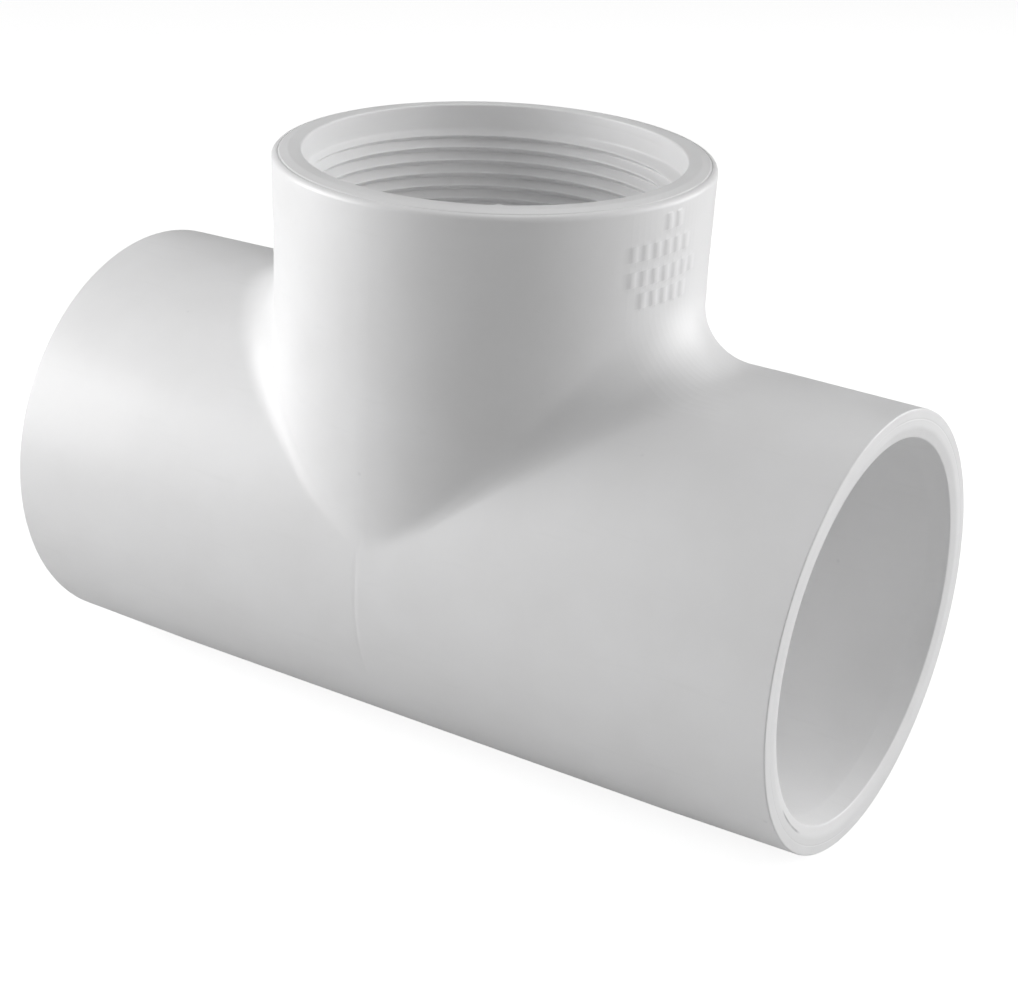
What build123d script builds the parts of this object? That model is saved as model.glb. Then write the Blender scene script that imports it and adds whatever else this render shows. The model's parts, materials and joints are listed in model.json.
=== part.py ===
"""White PVC pipe tee, moulded in one piece: two slip sockets in line and a branch with a female pipe thread.

The origin is where the two axes cross. The sockets run along X and the branch points up along +Z.
The moulding is written as its three tubes, mitred together where their axes cross.
"""
import os
from math import degrees, radians, tan

from build123d import *

# The run: the straight tube that holds both slip sockets.
run_half_length = 71.25
run_mouth_radius = 35.3
run_middle_radius = 35.6
run_straight_half_length = 48.0

# The branch: the tube that holds the thread.
branch_height = 62.9
branch_edge_height = 62.25
branch_mouth_radius = 35.0
branch_wall_radius = 34.6
branch_straight_height = 47.0
rim_flat_radius = 32.4

# Blends and edges of the outside.
crotch_fillet = 10.5
run_edge_radius = 0.4
branch_edge_radius = 0.9

# Slip sockets, for 60.3 mm outside diameter pipe.
socket_radius = 30.2
socket_depth = 38.0
socket_entry_depth = 1.4
entry_edge_radius = 30.7
entry_edge_depth = 0.65
socket_entry_radius = 32.4

# Waterway, the same through the run and the branch.
waterway_radius = 26.25

# Female thread: 11.5 threads per inch, 60 degree form, right-handed.
thread_pitch = 25.4 / 11.5
thread_crest_radius = 28.5
thread_root_radius = 30.05
thread_root_half_width = 0.05
thread_flank = radians(30)
thread_lowest = 37.0
thread_start_angle = 98.0
thread_turns_above = 0.3
groove_overcut = 0.15
branch_ledge_height = 34.3
counterbore_radius = 30.25
counterbore_depth = 4.2
counterbore_edge = 0.35
counterbore_step_slope = 0.6

# Raised marks on the branch wall, towards +X: plain bars in four rows, all on one pitch round the wall.
mark_width = 0.95
mark_gap = 1.45
mark_height = 2.4
mark_proud = 0.16
mark_root = 0.5
mark_first_angle = -20.5
mark_rows = [
    # depth of the row's middle below the rim's outer edge, place of its first bar, number of bars
    (2.9, 3, 2),
    (6.9, 0, 6),
    (10.9, 0, 7),
    (14.4, 1, 5),
]

# Half the width of the blocks that divide the tee, and how near an edge's middle lies to its plane.
reach = 120.0
plane_tolerance = 0.01


def turned(points, axis):
    """Solid of revolution about X or Z from (along, out) points for X and (out, up) points for Z."""
    return revolve(Plane.XZ * make_face(Polyline(*points, close=True)), axis=axis)


def outer_body():
    """The outside of the tee as one solid, with the crotch fillet and the rounded mouths."""
    run = turned(
        [
            (-run_half_length, 0),
            (-run_half_length, run_mouth_radius),
            (-run_straight_half_length, run_middle_radius),
            (run_straight_half_length, run_middle_radius),
            (run_half_length, run_mouth_radius),
            (run_half_length, 0),
        ],
        Axis.X,
    )
    branch = turned(
        [
            (0, 0),
            (branch_wall_radius, 0),
            (branch_wall_radius, branch_straight_height),
            (branch_mouth_radius, branch_edge_height),
            (rim_flat_radius, branch_height),
            (0, branch_height),
        ],
        Axis.Z,
    )
    tee = run + branch
    seams = [edge for edge in tee.edges() if edge.geom_type == GeomType.BSPLINE]
    tee = fillet(seams, crotch_fillet)
    tee = fillet(circles_at(tee, lambda middle: abs(abs(middle.X) - run_half_length)), run_edge_radius)
    return fillet(circles_at(tee, lambda middle: abs(middle.Z - branch_edge_height)), branch_edge_radius)


def circles_at(tee, plane_distance):
    """Circular edges whose middles lie on the plane that the function measures the distance to."""
    return [
        edge
        for edge in tee.edges().filter_by(GeomType.CIRCLE)
        if plane_distance(edge.center(CenterOf.BOUNDING_BOX)) < plane_tolerance
    ]


def run_hollow():
    """Waterway, and both sockets with their stop ledges and the two slopes at their mouths."""
    ledge = run_half_length - socket_depth
    entry = run_half_length - socket_entry_depth
    entry_edge = run_half_length - entry_edge_depth
    return turned(
        [
            (-run_half_length, 0),
            (-run_half_length, socket_entry_radius),
            (-entry_edge, entry_edge_radius),
            (-entry, socket_radius),
            (-ledge, socket_radius),
            (-ledge, waterway_radius),
            (ledge, waterway_radius),
            (ledge, socket_radius),
            (entry, socket_radius),
            (entry_edge, entry_edge_radius),
            (run_half_length, socket_entry_radius),
            (run_half_length, 0),
        ],
        Axis.X,
    )


def branch_hollow():
    """Waterway, the thread's crest bore, the conical step and the counterbore at the rim."""
    counterbore_floor = branch_height - counterbore_depth
    step = (counterbore_radius - thread_crest_radius) * counterbore_step_slope
    return turned(
        [
            (0, 0),
            (waterway_radius, 0),
            (waterway_radius, branch_ledge_height),
            (thread_crest_radius, branch_ledge_height),
            (thread_crest_radius, counterbore_floor - step),
            (counterbore_radius, counterbore_floor),
            (counterbore_radius, branch_height - counterbore_edge),
            (counterbore_radius + counterbore_edge, branch_height),
            (0, branch_height),
        ],
        Axis.Z,
    )


def thread_groove():
    """The helical groove, from its blind lower end up into the open counterbore."""
    top = branch_height - counterbore_depth + thread_turns_above * thread_pitch
    helix = Helix(thread_pitch, top - thread_lowest, thread_crest_radius, center=(0, 0, thread_lowest))
    depth = thread_root_radius - thread_crest_radius
    mouth_half_width = thread_root_half_width + (depth + groove_overcut) * tan(thread_flank)
    section = Plane(origin=(thread_crest_radius, 0, thread_lowest), x_dir=(1, 0, 0), z_dir=(0, -1, 0))
    profile = section * make_face(
        Polyline(
            (-groove_overcut, -mouth_half_width),
            (depth, -thread_root_half_width),
            (depth, thread_root_half_width),
            (-groove_overcut, mouth_half_width),
            close=True,
        )
    )
    return sweep(profile, path=helix, is_frenet=True)


def wall_radius(height):
    """Outer radius of the branch above its straight stretch."""
    share = (height - branch_straight_height) / (branch_edge_height - branch_straight_height)
    return branch_wall_radius + max(share, 0) * (branch_mouth_radius - branch_wall_radius)


def raised_marks():
    """Rows of plain upright bars standing a little proud of the branch wall."""
    bar_pitch = degrees((mark_width + mark_gap) / branch_mouth_radius)
    thickness = mark_root + mark_proud
    bars = []
    for depth, first_place, count in mark_rows:
        middle = branch_edge_height - depth
        out = wall_radius(middle) + mark_proud - thickness / 2
        for place in range(first_place, first_place + count):
            angle = mark_first_angle + place * bar_pitch
            bar = Box(thickness, mark_width, mark_height)
            bars.append(Rot(0, 0, angle) * Pos(out, 0, middle) * bar)
    return bars


def prism(points):
    """Block with an outline in the XZ plane, wide enough to cover the tee along Y."""
    return extrude(Plane.XZ * make_face(Polyline(*points, close=True)), reach / 2, both=True)


def build():
    turned_to_start = Rot(0, 0, thread_start_angle)
    tee = outer_body() - run_hollow() - turned_to_start * branch_hollow()
    branch_side = prism([(0, 0), (reach, reach), (-reach, reach)])
    right_side = prism([(0, 0), (reach, reach), (reach, -reach), (0, -reach)])
    left_side = prism([(0, 0), (-reach, reach), (-reach, -reach), (0, -reach)])
    branch = (tee & branch_side) - turned_to_start * thread_groove()
    for bar in raised_marks():
        branch += bar
    return {
        "threaded_branch": branch,
        "left_socket": tee & left_side,
        "right_socket": tee & right_side,
    }


os.makedirs("parts", exist_ok=True)
for name, shape in build().items():
    solids = shape.solids()
    shape = solids[0] if len(solids) == 1 else Compound(children=solids)
    export_step(shape, f"parts/{name}.step")
    print(name, "solids", len(solids), "volume", round(shape.volume, 1))
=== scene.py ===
"""White PVC pipe tee: two slip sockets in line and a branch with a female pipe thread.

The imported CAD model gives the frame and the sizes. Its three zones of the one moulding are replaced by finer
meshes of the same shape, which add the thread's rounded form, the edges, the mould marks and the finish.
Shapes are worked out in millimetres and go into Blender in metres, in the CAD frame: the two axes cross at
the origin, the sockets lie along X and the branch points up along +Z.
"""
import json
import math

import bpy
import numpy as np
from mathutils import Matrix, Vector


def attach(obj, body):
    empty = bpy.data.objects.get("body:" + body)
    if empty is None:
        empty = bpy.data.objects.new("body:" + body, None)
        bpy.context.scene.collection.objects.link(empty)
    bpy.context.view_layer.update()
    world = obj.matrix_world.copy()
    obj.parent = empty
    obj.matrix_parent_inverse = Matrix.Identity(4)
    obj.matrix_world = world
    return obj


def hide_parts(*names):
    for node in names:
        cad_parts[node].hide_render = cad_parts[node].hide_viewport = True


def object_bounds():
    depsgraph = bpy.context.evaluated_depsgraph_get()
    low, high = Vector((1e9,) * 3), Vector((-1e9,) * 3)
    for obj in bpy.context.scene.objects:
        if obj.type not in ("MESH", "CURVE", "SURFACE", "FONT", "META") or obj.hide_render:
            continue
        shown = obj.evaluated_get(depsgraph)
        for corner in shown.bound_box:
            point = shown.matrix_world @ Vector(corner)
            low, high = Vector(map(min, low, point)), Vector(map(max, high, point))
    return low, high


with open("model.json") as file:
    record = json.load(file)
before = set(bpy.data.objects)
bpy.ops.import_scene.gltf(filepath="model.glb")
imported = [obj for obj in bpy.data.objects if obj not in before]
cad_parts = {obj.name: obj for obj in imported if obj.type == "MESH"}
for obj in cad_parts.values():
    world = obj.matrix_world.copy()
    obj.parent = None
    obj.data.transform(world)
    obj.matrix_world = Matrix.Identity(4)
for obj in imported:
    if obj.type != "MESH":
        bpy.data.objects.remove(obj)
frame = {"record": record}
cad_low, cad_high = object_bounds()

MM = 0.001
MOUNTS = {mount["name"]: mount for mount in frame["record"]["mounts"]}


def mount_radius(name):
    return MOUNTS[name]["dims"]["r_mm"]


# Sizes that the frame gives, in millimetres.
RUN_END = cad_high.x / MM
RUN_RADIUS = -cad_low.z / MM
RIM_HEIGHT = cad_high.z / MM
SOCKET_RADIUS = mount_radius("right_socket_bore")
SOCKET_FLOOR = MOUNTS["right_socket_bore"]["pos_m"][0] / MM
THREAD_CREST = mount_radius("branch_thread")
LEDGE_HEIGHT = MOUNTS["branch_thread"]["pos_m"][2] / MM

# Driving sizes of the outside, as in the CAD.
RUN_MOUTH_RADIUS = 35.3
RUN_STRAIGHT = 48.0
BRANCH_RADIUS = 34.6
BRANCH_MOUTH_RADIUS = 35.0
BRANCH_STRAIGHT = 47.0
BRANCH_EDGE_HEIGHT = 62.25
RIM_FLAT_RADIUS = 32.4
BRANCH_EDGE = 0.9
CROTCH_BALL = 10.5

# Finer than the CAD: the edge of the run's mouths, and the crotch's fillet at its front and back.
RUN_EDGE = 0.25
CROTCH_BALL_IN_FRONT = 1.5

# Inside.
WATERWAY_RADIUS = 26.25
WATERWAY_BALL = 1.5
WATERWAY_END = SOCKET_FLOOR - 0.6
LEDGE_EDGE = 0.3
LEDGE_START = LEDGE_HEIGHT - 0.35
LEDGE_END = LEDGE_HEIGHT + 0.6
ENTRY_RADIUS = 32.4
ENTRY_SLOPE_DEPTH = 0.45
TAPER_DEPTH = 4.0
ENTRY_EDGE_RADIUS = 30.7
THREAD_PITCH = 25.4 / 11.5
THREAD_ROOT = 30.05
THREAD_LOWEST = 37.0
THREAD_START = math.radians(98)
THREAD_RUN_IN = 0.15
THREAD_ROOT_SOFT = 0.12
THREAD_CREST_SOFT = 0.14
BELOW_CREST = 0.5
FLANK = math.radians(30)
COUNTERBORE_RADIUS = 30.25
COUNTERBORE_DEPTH = 4.0
COUNTERBORE_STEP = 1.5

# Fine grooves on the mouths' rings: the radii where each dips, where its floor starts and ends, and where the
# ring is level again.
RUN_GROOVE = (33.55, 33.65, 33.75, 33.85)
RUN_GROOVE_DEPTH = 0.02
RIM_GROOVE = (33.75, 33.9, 34.05, 34.15)
RIM_GROOVE_DEPTH = 0.1

# Raised marks on the branch: rows of plain upright bars on one common pitch.
MARK_WIDTH = 0.95
MARK_GAP = 1.45
MARK_HEIGHT = 2.2
MARK_PROUD = 0.16
MARK_SOFT = 0.2
MARK_FIRST_ANGLE = -20.5
MARKED_WALL_END = BRANCH_STRAIGHT - 0.8
MARK_PITCH = math.degrees((MARK_WIDTH + MARK_GAP) / BRANCH_MOUTH_RADIUS)
MARK_ROWS = [
    # depth of the row's middle below the rim's outer edge, number of the first bar, number of bars
    (2.9, 3, 2),
    (6.9, 0, 6),
    (10.9, 0, 7),
    (14.4, 1, 5),
]

# The witness line across the run's front: its angles from +Z towards -Y, its place, half width and depth.
WITNESS_START = 78
WITNESS_END = 122
WITNESS_ALONG = -0.25
WITNESS_HALF_WIDTH = 0.4
WITNESS_DEPTH = 0.03

# A burr on the rim's inner edge, and a thin dark line of painted shade on the inner edge of the right socket's
# mouth.
BURR_ANGLE = -56.0
BURR_HALF_ANGLE = 0.9
BURR_REACH = 0.8
PAINTED_SHADE_ANGLE = math.radians(-134)
PAINTED_SHADE_RADIUS = 32.2

# Colours of the plastic: its two shades, the tone of a scuff, of a speck and of the painted shade line at the
# right socket's mouth.
SHADE_LOW = (0.822, 0.820, 0.822)
SHADE_HIGH = (0.856, 0.856, 0.860)
SCUFF_TONE = (0.80, 0.80, 0.80)
SPECK_TONE = (0.42, 0.42, 0.44)
PAINTED_SHADE_TONE = (0.25, 0.25, 0.26)

# The floor: the tone and the glow that the camera sees, and the tone that throws light back on the tee.
FLOOR_SHOWN = (0.35, 0.35, 0.35, 1)
FLOOR_GLOW = 0.86
FLOOR_THROWN_BACK = (0.68, 0.68, 0.68, 1)

# Fineness of the meshes.
COLUMN_STEP = 2.0
ROWS_PER_PITCH = 20
CORNER_STEPS = 6
CROTCH_ROWS = 36
BRANCH_WATERWAY_ROWS = 16
RUN_WATERWAY_ROWS = 14
# Distances of the rows that lie close to a seam, drawn together on a path shorter than SHORT_PATH.
NEAR_SEAM = (0.0, 0.15, 0.3, 0.45, 0.7, 1.0)
SHORT_PATH = 4.0


# ---------------------------------------------------------------- outlines

def rounded(corners):
    """Outline through (along, out, radius) corners, with an arc of that radius at each inner corner."""
    points = [np.array(corners[0][:2])]
    for before, here, after in zip(corners, corners[1:], corners[2:]):
        corner = np.array(here[:2])
        arriving = corner - np.array(before[:2])
        leaving = np.array(after[:2]) - corner
        arriving = arriving / np.hypot(*arriving)
        leaving = leaving / np.hypot(*leaving)
        turn = math.acos(np.clip(arriving @ leaving, -1, 1))
        start = corner - arriving * here[2] * math.tan(turn / 2)
        sideways = (leaving - arriving * math.cos(turn)) / math.sin(turn)
        for step in range(CORNER_STEPS + 1):
            angle = turn * step / CORNER_STEPS
            swing = arriving * math.sin(angle) + sideways * (1 - math.cos(angle))
            points.append(start + here[2] * swing)
    points.append(np.array(corners[-1][:2]))
    return np.array(points)


def spaced(points, longest):
    """The outline with extra points on every stretch longer than the given length."""
    filled = [points[0]]
    for start, end in zip(points, points[1:]):
        pieces = max(1, math.ceil(np.hypot(*(end - start)) / longest))
        filled += [start + (end - start) * part / pieces for part in range(1, pieces + 1)]
    return np.array(filled)


def branch_wall(height):
    """Outer radius of the branch, which widens a little above its straight stretch."""
    share = np.clip((height - BRANCH_STRAIGHT) / (BRANCH_EDGE_HEIGHT - BRANCH_STRAIGHT), 0, 1)
    return BRANCH_RADIUS + share * (BRANCH_MOUTH_RADIUS - BRANCH_RADIUS)


def socket_outline():
    """One socket from its stop ledge round the mouth to the straight part of the wall, as (along, out)."""
    dip, floor_start, floor_end, level_again = RUN_GROOVE
    corners = [
        (WATERWAY_END, WATERWAY_RADIUS, 0),
        (SOCKET_FLOOR, WATERWAY_RADIUS, LEDGE_EDGE),
        (SOCKET_FLOOR, SOCKET_RADIUS, 0.4),
        (RUN_END - TAPER_DEPTH, SOCKET_RADIUS, 3.0),
        (RUN_END - ENTRY_SLOPE_DEPTH, ENTRY_EDGE_RADIUS, 0.3),
        (RUN_END, ENTRY_RADIUS, 3.0),
        (RUN_END, dip, 0.1),
        (RUN_END - RUN_GROOVE_DEPTH, floor_start, 0.1),
        (RUN_END - RUN_GROOVE_DEPTH, floor_end, 0.1),
        (RUN_END, level_again, 0.1),
        (RUN_END, RUN_MOUTH_RADIUS, RUN_EDGE),
        (RUN_STRAIGHT, RUN_RADIUS, 0),
    ]
    return spaced(rounded(corners), 3.0)


def rim_outline():
    """The branch mouth from the counterbore over the crowned rim to the outer wall, as (height, out)."""
    dip, floor_start, floor_end, level_again = RIM_GROOVE
    slope = (RIM_HEIGHT - BRANCH_EDGE_HEIGHT) / (BRANCH_MOUTH_RADIUS - RIM_FLAT_RADIUS)

    def crown(out):
        return RIM_HEIGHT - (out - RIM_FLAT_RADIUS) * slope

    corners = [
        (RIM_HEIGHT - 1.5, COUNTERBORE_RADIUS, 0),
        (RIM_HEIGHT, COUNTERBORE_RADIUS, 0.35),
        (RIM_HEIGHT, RIM_FLAT_RADIUS, 1.5),
        (crown(dip), dip, 0.05),
        (crown(floor_start) - RIM_GROOVE_DEPTH, floor_start, 0.05),
        (crown(floor_end) - RIM_GROOVE_DEPTH, floor_end, 0.05),
        (crown(level_again), level_again, 0.05),
        (BRANCH_EDGE_HEIGHT, BRANCH_MOUTH_RADIUS, BRANCH_EDGE),
        (BRANCH_EDGE_HEIGHT - 1.3, branch_wall(BRANCH_EDGE_HEIGHT - 1.3), 0),
    ]
    return spaced(rounded(corners), 0.8)


# ---------------------------------------------------------------- where the two tubes meet

def crotch_ball(phi):
    """Radius of the ball that rolls round the crotch: large over the run's top, small at its sides."""
    return CROTCH_BALL_IN_FRONT + (CROTCH_BALL - CROTCH_BALL_IN_FRONT) * np.abs(np.cos(phi))


def meeting(phi, run_radius, branch_radius, ball):
    """How a ball rolls in the corner between two tubes, for angles phi round the branch from +X.

    The ball is one radius, or one for every angle. Gives the ball's centre, the directions from it to the
    branch and on towards the run, the turn between its two touching points, the turn at which it crosses the
    mitre plane z = |x|, and the angles round the run at which it touches the run and at which the run's wall
    meets the mitre plane.
    """
    ball = np.broadcast_to(ball, phi.shape)
    to_branch = np.stack([-np.cos(phi), -np.sin(phi), np.zeros_like(phi)], -1)
    centre = -to_branch * (branch_radius + ball)[:, None]
    centre[:, 2] = np.sqrt((run_radius + ball) ** 2 - centre[:, 1] ** 2)
    to_run = centre * np.array([0, -1, -1]) / (run_radius + ball)[:, None]
    cosine = np.clip((to_branch * to_run).sum(-1), -1, 1)
    whole = np.arccos(cosine)
    onward = (to_run - to_branch * cosine[:, None]) / np.maximum(np.sin(whole), 1e-9)[:, None]

    def above_mitre(vector):
        return vector[:, 2] - np.where(centre[:, 0] < 0, -1, 1) * vector[:, 0]

    first, second = above_mitre(to_branch), above_mitre(onward)
    level = -above_mitre(centre) / ball / np.maximum(np.hypot(first, second), 1e-9)
    crossing = np.arctan2(second, first) + np.arccos(np.clip(level, -1, 1))
    crossing = np.minimum(crossing, whole)
    run_angle = np.arctan2(centre[:, 1], centre[:, 2])
    beyond = centre[:, 2] * run_radius / (run_radius + ball) > np.abs(centre[:, 0])
    mitre_angle = np.sign(centre[:, 1]) * np.arccos(np.clip(np.abs(centre[:, 0]) / run_radius, -1, 1))
    mitre_angle = np.where(beyond, mitre_angle, run_angle)
    return centre, to_branch, onward, whole, crossing, run_angle, mitre_angle


def on_ball(centre, to_branch, onward, ball, turn):
    """Points on the rolling ball, turned from its touching point on the branch towards the run."""
    turn = turn[..., None]
    reach = np.broadcast_to(ball, len(centre))[:, None]
    return centre + reach * (to_branch * np.cos(turn) + onward * np.sin(turn))


def down_the_branch(phi, start_height, run_radius, branch_radius, ball, rows):
    """Rows of points from a height on the branch down its wall and round the corner to the mitre plane."""
    centre, to_branch, onward, whole, crossing, run_angle, mitre_angle = meeting(
        phi, run_radius, branch_radius, ball
    )
    wall = start_height - centre[:, 2]
    arc = ball * crossing
    circle = run_radius * np.abs(mitre_angle - run_angle)
    distance = from_seam(wall + arc + circle, rows)[::-1]
    on_wall = np.stack(np.broadcast_arrays(
        branch_radius * np.cos(phi), branch_radius * np.sin(phi), start_height - distance), -1)
    turn = np.clip((distance - wall) / ball, 0, crossing)
    angle = run_angle + np.sign(run_angle) * np.maximum(distance - wall - arc, 0) / run_radius
    on_run = np.stack(np.broadcast_arrays(
        centre[:, 0], run_radius * np.sin(angle), run_radius * np.cos(angle)), -1)
    points = np.where((distance <= wall)[..., None], on_wall, on_ball(centre, to_branch, onward, ball, turn))
    return np.where((distance > wall + arc)[..., None], on_run, points)


def along_the_run(phi, start, run_radius, branch_radius, ball, rows, first_angle=None):
    """Rows of points from a distance along the run in to the mitre plane, ending where the branch's rows end.

    The points keep to the angles at which they meet the corner, or slant there from first_angle.
    """
    centre, to_branch, onward, whole, crossing, run_angle, mitre_angle = meeting(
        phi, run_radius, branch_radius, ball
    )
    wall = start - np.abs(centre[:, 0])
    arc = np.where(mitre_angle == run_angle, ball * (whole - crossing), 0)
    distance = from_seam(wall + arc, rows)[::-1]
    angle = mitre_angle
    if first_angle is not None:
        angle = first_angle + (mitre_angle - first_angle) * np.clip(distance / wall, 0, 1)
    on_wall = np.stack(np.broadcast_arrays(
        start - distance, run_radius * np.sin(angle), run_radius * np.cos(angle)), -1)
    turn = np.clip(whole - (distance - wall) / ball, crossing, whole)
    on_corner = on_ball(centre, to_branch, onward, ball, turn)
    return np.where((distance <= wall)[..., None], on_wall, on_corner)


def from_seam(length, rows):
    """Distances from the start of each path: evenly spread, with close rows next to its far end."""
    spread = np.linspace(0, 1, rows + 1)[1:, None]
    near = np.array(NEAR_SEAM)[:, None] * np.minimum(1, length / SHORT_PATH)
    rest = near[-1] + (length - near[-1]) * spread
    return length - np.concatenate([near, rest])


# ---------------------------------------------------------------- the threaded branch

def branch_columns():
    """Angles round the branch: evenly spread, and set on the raised bars, the witness line and the burr."""
    half = math.degrees(MARK_WIDTH / 2 / BRANCH_MOUTH_RADIUS)
    soft = math.degrees(MARK_SOFT / BRANCH_MOUTH_RADIUS)
    edges = []
    for bar in range(max(first + count for _, first, count in MARK_ROWS)):
        middle = MARK_FIRST_ANGLE + bar * MARK_PITCH
        edges += [middle - half - soft, middle - half, middle + half, middle + half + soft]
    edges += [-90 + offset for offset in (-1.6, -1.0, -0.6, -0.3, 0.3, 0.6, 1.0, 1.6)]
    edges += [BURR_ANGLE + offset for offset in (-1.2, -0.6, 0, 0.6, 1.2)]
    even = np.arange(-90, 270, COLUMN_STEP)
    clear = [angle for angle in even if abs(angle) == 90 or min(abs(angle - edge) for edge in edges) > 0.5]
    return np.radians(np.sort(np.array(clear + edges)))


def bar_cover(phi, height):
    """1 on the raised bars, 0 off them, and in between on their soft edges."""
    cover = np.zeros(np.broadcast(phi, height).shape)
    for depth, first, count in MARK_ROWS:
        up = np.abs(height - (BRANCH_EDGE_HEIGHT - depth))
        upright = np.clip((MARK_HEIGHT / 2 + MARK_SOFT - up) / MARK_SOFT, 0, 1)
        for bar in range(first, first + count):
            middle = math.radians(MARK_FIRST_ANGLE + bar * MARK_PITCH)
            across = np.abs(phi - middle) * BRANCH_MOUTH_RADIUS
            sideways = np.clip((MARK_WIDTH / 2 + MARK_SOFT - across) / MARK_SOFT, 0, 1)
            cover = np.maximum(cover, np.minimum(upright, sideways))
    return cover


def bar_heights(top, bottom):
    """Heights down the marked wall, set on the bars' ends."""
    levels = {top, bottom}
    for depth, _, _ in MARK_ROWS:
        for edge in (MARK_HEIGHT / 2, MARK_HEIGHT / 2 + MARK_SOFT):
            levels |= {BRANCH_EDGE_HEIGHT - depth - edge, BRANCH_EDGE_HEIGHT - depth + edge}
    levels = sorted(level for level in levels if bottom <= level <= top)
    outline = np.array([(level, 0.0) for level in reversed(levels)])
    return spaced(outline, 1.2)[:, 0]


def soft_max(first, second, softness):
    """The larger of two radii, with the edge between them rounded."""
    return (first + second + np.sqrt((first - second) ** 2 + softness ** 2)) / 2


def thread_rows(phi, bottom, top):
    """Rows of points up the threaded bore, which climb with the thread.

    Rows that reach past the bottom or the top of the bore lie on its edge, and are welded there later.
    """
    climb = THREAD_PITCH * (phi - phi[0]) / (2 * math.pi)
    groove_at_start = THREAD_LOWEST + THREAD_PITCH * (phi[0] - THREAD_START) / (2 * math.pi)
    step = THREAD_PITCH / ROWS_PER_PITCH
    first = math.floor((bottom - THREAD_PITCH - groove_at_start) / step)
    last = math.ceil((top - groove_at_start) / step)
    height = groove_at_start + step * np.arange(first, last + 1)[:, None] + climb
    height = np.clip(height, bottom, top)

    from_start = (phi - THREAD_START) / (2 * math.pi)
    turns = (height - THREAD_LOWEST) / THREAD_PITCH - from_start
    offset = np.abs(turns - np.round(turns)) * THREAD_PITCH
    rooted = THREAD_ROOT - (np.hypot(offset, THREAD_ROOT_SOFT) - THREAD_ROOT_SOFT) / math.tan(FLANK)
    blind = np.clip((np.round(turns) + from_start) / THREAD_RUN_IN, 0, 1)
    rooted = THREAD_CREST - BELOW_CREST + (rooted - THREAD_CREST + BELOW_CREST) * blind
    radius = soft_max(rooted, counterbore(height), THREAD_CREST_SOFT)
    return np.stack([radius * np.cos(phi), radius * np.sin(phi), height], -1)


def counterbore(height):
    """Radius of the bore that the thread is cut in, with its step out to the counterbore."""
    floor = RIM_HEIGHT - COUNTERBORE_DEPTH
    share = np.clip((height - floor + COUNTERBORE_STEP) / COUNTERBORE_STEP, 0, 1)
    share = share * share * (3 - 2 * share)
    return THREAD_CREST + share * (COUNTERBORE_RADIUS - THREAD_CREST)


def turned_rows(phi, outline):
    """Rows of points round Z from (height, out) points."""
    height, out = outline[:, :1], outline[:, 1:]
    return np.stack(np.broadcast_arrays(out * np.cos(phi), out * np.sin(phi), height), -1)


def branch_piece():
    """Rows of points over the branch's whole skin, and for each row the one that its last column joins."""
    phi = branch_columns()
    waterway = down_the_branch(
        phi, LEDGE_START, WATERWAY_RADIUS, WATERWAY_RADIUS, WATERWAY_BALL, BRANCH_WATERWAY_ROWS
    )
    ledge = rounded([
        (LEDGE_START, WATERWAY_RADIUS, 0),
        (LEDGE_HEIGHT, WATERWAY_RADIUS, LEDGE_EDGE),
        (LEDGE_HEIGHT, THREAD_CREST, LEDGE_EDGE),
        (LEDGE_END, THREAD_CREST, 0),
    ])
    rim = rim_outline()
    thread = thread_rows(phi, LEDGE_END, rim[0][0])
    heights = bar_heights(rim[-1][0], MARKED_WALL_END)
    radius = branch_wall(heights[:, None]) + MARK_PROUD * bar_cover(phi, heights[:, None])
    wall = np.stack(np.broadcast_arrays(radius * np.cos(phi), radius * np.sin(phi), heights[:, None]), -1)
    corner = down_the_branch(phi, heights[-1], RUN_RADIUS, BRANCH_RADIUS, crotch_ball(phi), CROTCH_ROWS)
    inside = [waterway[::-1], turned_rows(phi, ledge)]
    before = sum(len(rows) for rows in inside)
    rows = np.concatenate([*inside, thread, turned_rows(phi, rim), wall, corner])
    closing = np.arange(len(rows))
    last = before + len(thread) - 1
    climbing = np.arange(before, last + 1)
    closing[climbing] = np.minimum(climbing + ROWS_PER_PITCH, last)
    return rows, closing


# ---------------------------------------------------------------- the sockets

def socket_piece(side):
    """The same rows for the socket towards +X or -X, made towards +X and mirrored."""
    phi = branch_columns()
    if side < 0:
        phi = np.pi - phi
    phi = (phi + np.pi) % (2 * np.pi) - np.pi
    upper = np.sort(phi[np.cos(phi) > -1e-9])
    lower = np.radians(np.arange(90 + COLUMN_STEP, 270, COLUMN_STEP))
    *_, mitre_angle = meeting(upper, RUN_RADIUS, BRANCH_RADIUS, crotch_ball(upper))
    outline = socket_outline()
    alpha = np.concatenate([mitre_angle, lower])

    def rows_round(start, upper_rows, radius):
        distance = from_seam(np.full(len(lower), start), len(upper_rows) - len(NEAR_SEAM))[::-1]
        lower_rows = np.stack(np.broadcast_arrays(
            start - distance, radius * np.sin(lower), radius * np.cos(lower)), -1)
        return np.concatenate([upper_rows, lower_rows], 1)

    inner = along_the_run(
        upper, WATERWAY_END, WATERWAY_RADIUS, WATERWAY_RADIUS, WATERWAY_BALL, RUN_WATERWAY_ROWS, mitre_angle
    )
    outer = along_the_run(upper, RUN_STRAIGHT, RUN_RADIUS, BRANCH_RADIUS, crotch_ball(upper), CROTCH_ROWS)
    along, out = outline[:, :1], outline[:, 1:]
    mouth = np.stack(np.broadcast_arrays(along, out * np.sin(alpha), out * np.cos(alpha)), -1)
    inner = rows_round(WATERWAY_END, inner, WATERWAY_RADIUS)[::-1]
    outer = rows_round(RUN_STRAIGHT, outer, RUN_RADIUS)
    rows = np.concatenate([inner, mouth, outer])
    rows[..., 0] *= side
    return rows, np.arange(len(rows))


# ---------------------------------------------------------------- meshes

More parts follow.
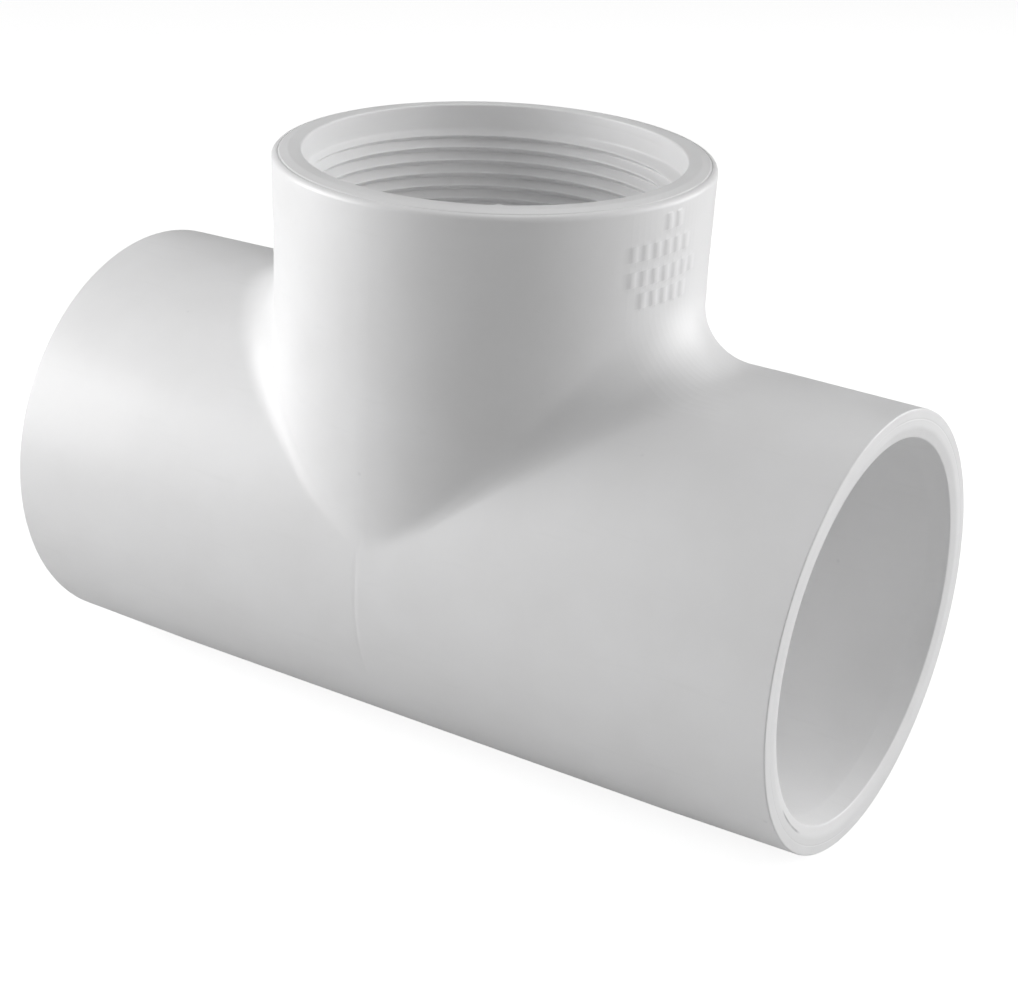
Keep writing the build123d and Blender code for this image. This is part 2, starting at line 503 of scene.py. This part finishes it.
def welded(rows, closing):
    """Points and faces of a grid that closes on itself both ways, and which faces are on the mitre cut."""
    numbers = np.arange(rows.shape[0] * rows.shape[1]).reshape(rows.shape[:2])
    onward = np.column_stack([numbers[:, 1:], numbers[closing, 0]])
    quads = np.stack([numbers, onward, np.roll(onward, -1, 0), np.roll(numbers, -1, 0)], -1)
    cut = np.zeros(numbers.shape, bool)
    cut[-1] = True
    points, merged = np.unique(np.round(rows.reshape(-1, 3), 4), axis=0, return_inverse=True)
    quads = merged.reshape(-1)[quads.reshape(-1, 4)]
    faces, on_cut = [], []
    for quad, is_cut in zip(quads.tolist(), cut.reshape(-1).tolist()):
        face = [point for place, point in enumerate(quad) if point != quad[place - 1]]
        if len(face) > 2 and len(set(face)) == len(face):
            faces.append(face)
            on_cut.append(is_cut)
    return points, faces, np.array(on_cut)


def face_vectors(points, faces):
    """Area-weighted normals of the faces."""
    corners = np.array([face if len(face) == 4 else face + face[-1:] for face in faces])
    one, two, three, four = (points[corners[:, place]] for place in range(4))
    return np.cross(three - one, four - two) / 2


def outward(points, faces):
    """The faces, all turned so that they look out of the solid."""
    vectors = face_vectors(points, faces)
    middles = np.array([points[face[0]] for face in faces])
    if (vectors * middles).sum() < 0:
        return [face[::-1] for face in faces]
    return faces


def shared_normals(solids):
    """Normals at every point, smoothed over the skin of all the pieces together so that no seam shows."""
    everything = np.concatenate([points for points, _, _ in solids])
    _, place = np.unique(everything, axis=0, return_inverse=True)
    place = place.reshape(-1)
    total = np.zeros((place.max() + 1, 3))
    offset = 0
    for points, faces, cut in solids:
        vectors = face_vectors(points, faces)
        for vector, face, on_cut in zip(vectors, faces, cut):
            if not on_cut:
                total[place[offset + np.array(face)]] += vector
        offset += len(points)
    total /= np.maximum(np.linalg.norm(total, axis=1), 1e-12)[:, None]
    return total[place]


def make_object(name, points, faces, cut, normals, material):
    """The Blender object of one piece, flat on its mitre cut and smooth elsewhere."""
    mesh = bpy.data.meshes.new(name)
    mesh.from_pydata((points * MM).tolist(), [], faces)
    mesh.polygons.foreach_set("use_smooth", [True] * len(mesh.polygons))
    corner_normals = []
    for vector, face, on_cut in zip(face_vectors(points, faces), faces, cut):
        if on_cut:
            corner_normals += [vector / max(np.linalg.norm(vector), 1e-12)] * len(face)
        else:
            corner_normals += [normals[point] for point in face]
    mesh.normals_split_custom_set(corner_normals)
    mesh.materials.append(material)
    piece = bpy.data.objects.new(name, mesh)
    bpy.context.scene.collection.objects.link(piece)
    return piece


def witness_line(points):
    """The faint sunk line across the run's middle on its -Y side, where the moulding's two flows met."""
    angle = np.degrees(np.arctan2(-points[:, 1], points[:, 2]))
    out = np.hypot(points[:, 1], points[:, 2])
    on_run = np.abs(out - RUN_RADIUS) < 0.05
    length = np.clip((angle - WITNESS_START) / 5, 0, 1) * np.clip((WITNESS_END - angle) / 8, 0, 1)
    across = np.exp(-((points[:, 0] - WITNESS_ALONG) / WITNESS_HALF_WIDTH) ** 2)
    depth = WITNESS_DEPTH * length * across * on_run
    points[:, 1:] *= (1 - depth / np.maximum(out, 1))[:, None]


def burr(points):
    """A small burr that leans in from the rim's inner edge."""
    angle = np.degrees(np.arctan2(points[:, 1], points[:, 0]))
    out = np.hypot(points[:, 0], points[:, 1])
    on_edge = (out < RIM_FLAT_RADIUS - 1) & (points[:, 2] > RIM_HEIGHT - 0.6)
    inward = BURR_REACH * np.exp(-((angle - BURR_ANGLE) / BURR_HALF_ANGLE) ** 2) * on_edge
    points[:, :2] *= (1 - inward / np.maximum(out, 1))[:, None]


# ---------------------------------------------------------------- material

def node(tree, kind, inputs=(), **settings):
    """A shader node with its settings, and its inputs given as values or as links."""
    made = tree.nodes.new(kind)
    for name, value in settings.items():
        setattr(made, name, value)
    for name, value in dict(inputs).items():
        if isinstance(value, bpy.types.NodeSocket):
            tree.links.new(value, made.inputs[name])
        else:
            made.inputs[name].default_value = value
    return made


def white_pvc():
    """Satin white PVC: faint cloudiness from the melt, a fine skin, light scuffs and a few dark specks."""
    material = bpy.data.materials.new("white_pvc")
    material.use_nodes = True
    tree = material.node_tree
    shader = tree.nodes["Principled BSDF"]
    shader.inputs["IOR"].default_value = 1.53
    place = node(tree, "ShaderNodeTexCoord").outputs["Object"]

    cloud = node(tree, "ShaderNodeTexNoise", {"Vector": place, "Scale": 55, "Detail": 4, "Roughness": 0.55})
    skin = node(tree, "ShaderNodeTexNoise", {"Vector": place, "Scale": 2400, "Detail": 2})
    ripple = node(tree, "ShaderNodeTexNoise", {"Vector": place, "Scale": 320, "Detail": 2})
    streaks = {"Vector": place, "Rotation": (0.3, 0.5, 0.2), "Scale": (60, 900, 700)}
    drawn = node(tree, "ShaderNodeMapping", streaks)
    rubs = node(tree, "ShaderNodeTexNoise", {"Vector": drawn.outputs["Vector"], "Scale": 1, "Detail": 3})
    scuffs = spread(tree, rubs.outputs["Fac"], 0.62, 0.78, 0, 1)
    grains = node(tree, "ShaderNodeTexVoronoi", {"Vector": place, "Scale": 170})
    speck = spread(tree, grains.outputs["Distance"], 0.035, 0.075, 1, 0)
    chosen = node(tree, "ShaderNodeSeparateColor", {"Color": grains.outputs["Color"]}).outputs["Red"]
    speck = product(tree, speck, spread(tree, chosen, 0.80, 0.82, 0, 1))

    body = mixed(tree, spread(tree, cloud.outputs["Fac"], 0.3, 0.7, 0, 1), SHADE_LOW, SHADE_HIGH)
    body = mixed(tree, product(tree, scuffs, 0.35), body, SCUFF_TONE)
    body = mixed(tree, product(tree, speck, 0.15), body, SPECK_TONE)
    # Painted shade: a thin dark line on the inner edge of the right socket's mouth, where the bore meets the
    # face.
    shade_line_mask = product(tree, painted_shade_line(tree, place), ripple.outputs["Fac"])
    body = mixed(tree, shade_line_mask, body, PAINTED_SHADE_TONE)
    tree.links.new(body, shader.inputs["Base Color"])

    roughness = spread(tree, cloud.outputs["Fac"], 0.3, 0.7, 0.34, 0.44)
    roughness = node(tree, "ShaderNodeMath", {0: product(tree, scuffs, 0.14), 1: roughness}, operation="ADD")
    tree.links.new(roughness.outputs[0], shader.inputs["Roughness"])

    height = product(tree, skin.outputs["Fac"], 0.25)
    height = node(tree, "ShaderNodeMath", {0: ripple.outputs["Fac"], 1: height}, operation="ADD").outputs[0]
    scratch = product(tree, scuffs, 0.2)
    height = node(tree, "ShaderNodeMath", {0: height, 1: scratch}, operation="SUBTRACT").outputs[0]
    bump = node(tree, "ShaderNodeBump", {"Height": height, "Distance": 0.00002, "Strength": 0.6})
    tree.links.new(bump.outputs["Normal"], shader.inputs["Normal"])
    return material


def spread(tree, value, low, high, to_low, to_high):
    """The value stretched from one range to another, and held at its ends."""
    inputs = {"Value": value, "From Min": low, "From Max": high, "To Min": to_low, "To Max": to_high}
    return node(tree, "ShaderNodeMapRange", inputs).outputs["Result"]


def near(tree, value, middle, core, edge):
    """1 where the value is close to the middle, falling to 0 at the edge."""
    away = node(tree, "ShaderNodeMath", {0: value, 1: middle}, operation="SUBTRACT").outputs[0]
    away = node(tree, "ShaderNodeMath", {0: away}, operation="ABSOLUTE").outputs[0]
    return spread(tree, away, core, edge, 1, 0)


def painted_shade_line(tree, place):
    """Where the thin dark line of painted shade lies on the inner edge of the right socket's mouth."""
    parts = node(tree, "ShaderNodeSeparateXYZ", {"Vector": place}).outputs
    flat = node(tree, "ShaderNodeCombineXYZ", {"Y": parts["Y"], "Z": parts["Z"]}).outputs["Vector"]
    out = node(tree, "ShaderNodeVectorMath", {0: flat}, operation="LENGTH").outputs["Value"]
    angle = node(tree, "ShaderNodeMath", {0: parts["Y"], 1: parts["Z"]}, operation="ARCTAN2").outputs[0]
    ring = near(tree, out, PAINTED_SHADE_RADIUS * MM, 0.00008, 0.00024)
    arc = near(tree, angle, PAINTED_SHADE_ANGLE, math.radians(6), math.radians(10))
    at_mouth = near(tree, parts["X"], RUN_END * MM, 0.0004, 0.0006)
    return product(tree, product(tree, ring, arc), at_mouth)


def product(tree, value, factor):
    """The value times the factor, which may be a link too."""
    return node(tree, "ShaderNodeMath", {0: value, 1: factor}, operation="MULTIPLY").outputs[0]


def mixed(tree, share, first, second):
    """One colour turning into another, each a colour or a link."""
    colours = [
        colour if isinstance(colour, bpy.types.NodeSocket) else (*colour, 1)
        for colour in (first, second)
    ]
    mix = node(tree, "ShaderNodeMix", {0: share, 6: colours[0], 7: colours[1]}, data_type="RGBA")
    return mix.outputs[2]


# ---------------------------------------------------------------- build

def build_pieces(material):
    """The three pieces in the frame, each in the place of its CAD node."""
    makers = {
        "threaded_branch": branch_piece(),
        "left_socket": socket_piece(-1),
        "right_socket": socket_piece(1),
    }
    solids = []
    for rows, closing in makers.values():
        points, faces, cut = welded(rows, closing)
        witness_line(points)
        burr(points)
        solids.append((points, outward(points, faces), cut))
    normals = shared_normals(solids)
    offset = 0
    for name, (points, faces, cut) in zip(makers, solids):
        piece = make_object(
            f"{name}_moulding", points, faces, cut, normals[offset:offset + len(points)], material
        )
        offset += len(points)
        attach(piece, "root")
        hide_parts(name)


def make_camera():
    """Camera at the photograph's angle: where it stands round the tee, and how it is aimed."""
    azimuth, elevation, roll = (math.radians(angle) for angle in (31.78, 23.40, 2.47))
    distance, aside, above = 0.3813, 0.00462, 0.00294
    back = Vector((
        math.sin(azimuth) * math.cos(elevation), -math.cos(azimuth) * math.cos(elevation), math.sin(elevation)
    ))
    level = Vector((0, 0, 1)).cross(back).normalized()
    upright = back.cross(level)
    right = math.cos(roll) * level + math.sin(roll) * upright
    up = back.cross(right)
    camera = bpy.data.objects.new("camera", bpy.data.cameras.new("camera"))
    camera.data.lens = 80.41
    camera.data.sensor_width = 36
    camera.data.clip_start = 0.01
    place = back * distance + right * aside + up * above
    camera.matrix_world = Matrix.Translation(place) @ Matrix((right, up, back)).transposed().to_4x4()
    bpy.context.scene.collection.objects.link(camera)
    bpy.context.scene.camera = camera


def make_light(name, azimuth, elevation, distance, size, power):
    """A square softbox that faces the tee, placed by its angle round from -Y towards +X and its height."""
    azimuth, elevation = math.radians(azimuth), math.radians(elevation)
    place = distance * Vector((
        math.sin(azimuth) * math.cos(elevation), -math.cos(azimuth) * math.cos(elevation), math.sin(elevation)
    ))
    lamp = bpy.data.lights.new(name, "AREA")
    lamp.size = size
    lamp.energy = power
    light = bpy.data.objects.new(name, lamp)
    light.location = place
    light.rotation_euler = place.to_track_quat("Z", "Y").to_euler()
    bpy.context.scene.collection.objects.link(light)


def make_floor():
    """A plain pale floor under the tee.

    The camera sees it glow near white. The light that it throws back on the tee is that of a matt pale
    surface, without the glow.
    """
    mesh = bpy.data.meshes.new("floor")
    half = 4.0
    level = cad_low.z
    corners = [(-half, -half, level), (half, -half, level), (half, half, level), (-half, half, level)]
    mesh.from_pydata(corners, [], [(0, 1, 2, 3)])
    floor = bpy.data.objects.new("floor", mesh)
    bpy.context.scene.collection.objects.link(floor)
    material = bpy.data.materials.new("pale_floor")
    material.use_nodes = True
    tree = material.node_tree
    shown = tree.nodes["Principled BSDF"]
    shown.inputs["Base Color"].default_value = FLOOR_SHOWN
    shown.inputs["Roughness"].default_value = 0.9
    shown.inputs["Specular IOR Level"].default_value = 0
    shown.inputs["Emission Color"].default_value = (1, 1, 1, 1)
    shown.inputs["Emission Strength"].default_value = FLOOR_GLOW
    plain = node(tree, "ShaderNodeBsdfDiffuse", {"Color": FLOOR_THROWN_BACK})
    seen = node(tree, "ShaderNodeLightPath").outputs["Is Camera Ray"]
    both = node(tree, "ShaderNodeMixShader", {0: seen, 1: plain.outputs[0], 2: shown.outputs[0]})
    tree.links.new(both.outputs[0], tree.nodes["Material Output"].inputs["Surface"])
    mesh.materials.append(material)


def make_world():
    """A dim even light from all round, which fills the deepest shadows."""
    world = bpy.data.worlds.new("studio")
    bpy.context.scene.world = world
    world.use_nodes = True
    world.node_tree.nodes["Background"].inputs["Color"].default_value = (1, 1, 1, 1)
    world.node_tree.nodes["Background"].inputs["Strength"].default_value = 0.01


SOFTBOXES = [
    # name, angle round, angle up, distance, size, power
    ("left_low", -60, 12, 0.7, 0.5, 5.0),
    ("left_high", -60, 45, 0.32, 0.22, 0.17),
    ("right", 60, 35, 0.7, 0.5, 0.85),
    ("back_right", 120, 35, 0.7, 0.5, 1.75),
    ("back_right_low", 140, 12, 0.7, 0.5, 2.4),
    ("back_high", 180, 60, 0.7, 0.5, 0.9),
]

build_pieces(white_pvc())
make_camera()
make_floor()
make_world()
for softbox in SOFTBOXES:
    make_light(*softbox)
bpy.context.scene.view_settings.view_transform = "Standard"
